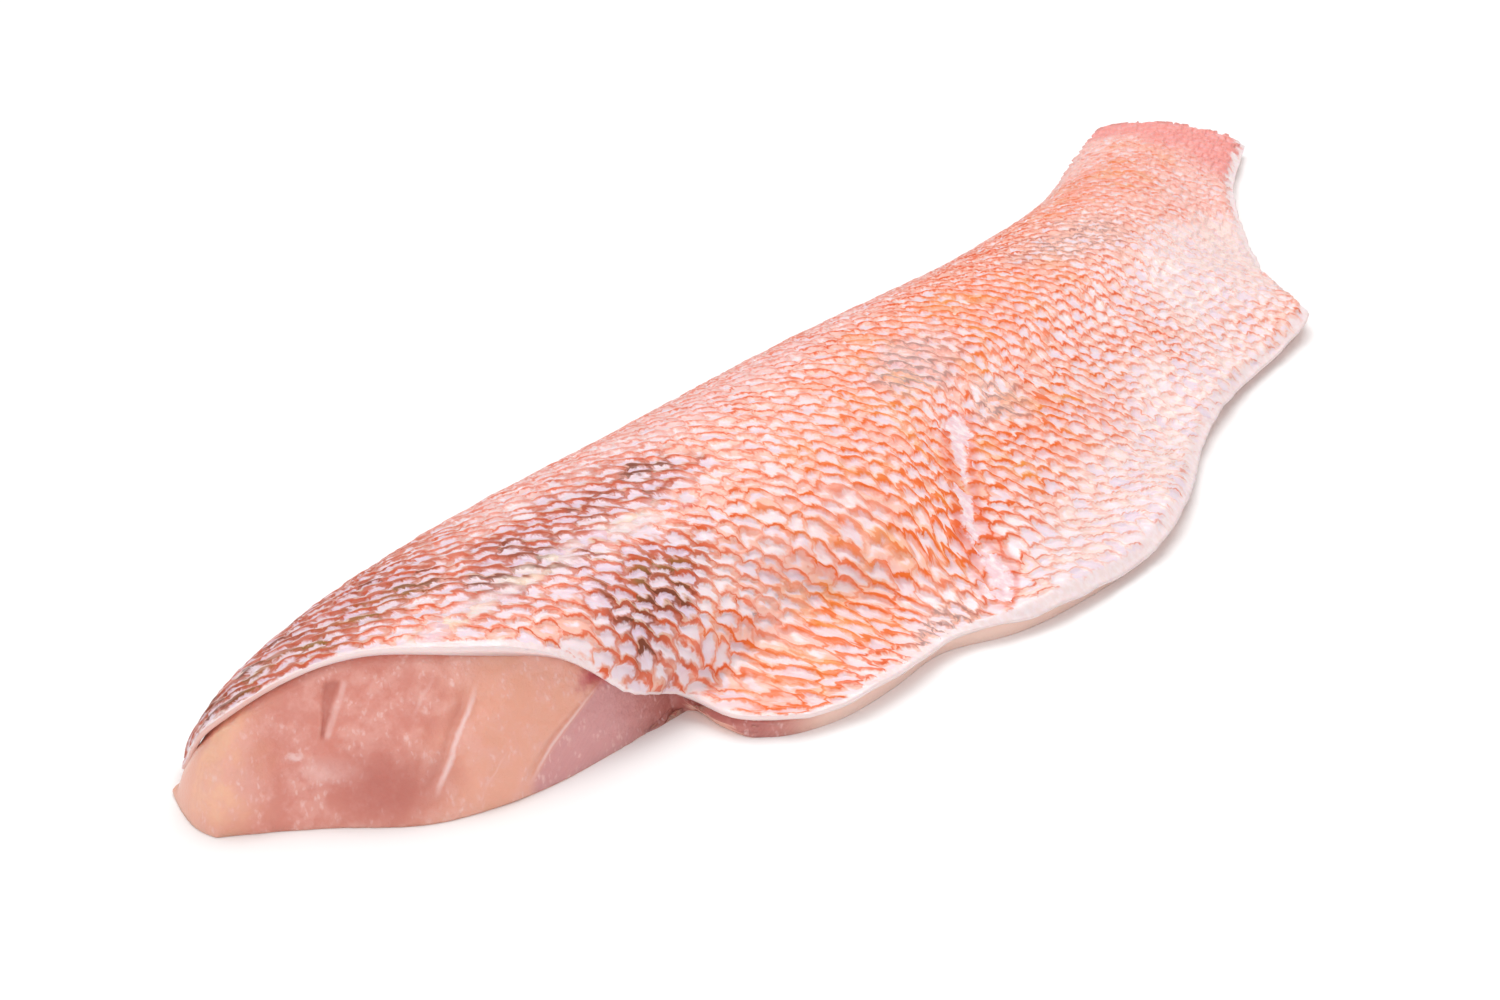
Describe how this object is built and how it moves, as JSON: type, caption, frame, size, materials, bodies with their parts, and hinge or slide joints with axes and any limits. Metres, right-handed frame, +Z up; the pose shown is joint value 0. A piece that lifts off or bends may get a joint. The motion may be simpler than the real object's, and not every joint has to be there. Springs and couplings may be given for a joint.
{
  "type": "redfish fillet",
  "caption": "Raw skin-on fish fillet lying skin side up: thick cut loin at the head end, thin wavy belly flap, narrow tail; patterned red skin over pink flesh.",
  "frame": {"origin": "under the middle of the fillet's box, on the surface that it lies on", "axes": "+X runs from the head cut to the tail cut, +Y from the belly to the back, +Z up out of the skin"},
  "size_m": [0.2376, 0.0822, 0.0201],
  "materials": {
    "flesh": "raw moist fish flesh, pink to beige, with pale seams between the muscle blocks",
    "skin": "scaled fish skin, pale lilac pockets in an orange-red net with dark saddles, wet sheen"
  },
  "bodies": {
    "root": {"flesh": "flesh", "skin": "skin"}
  },
  "joints": []
}
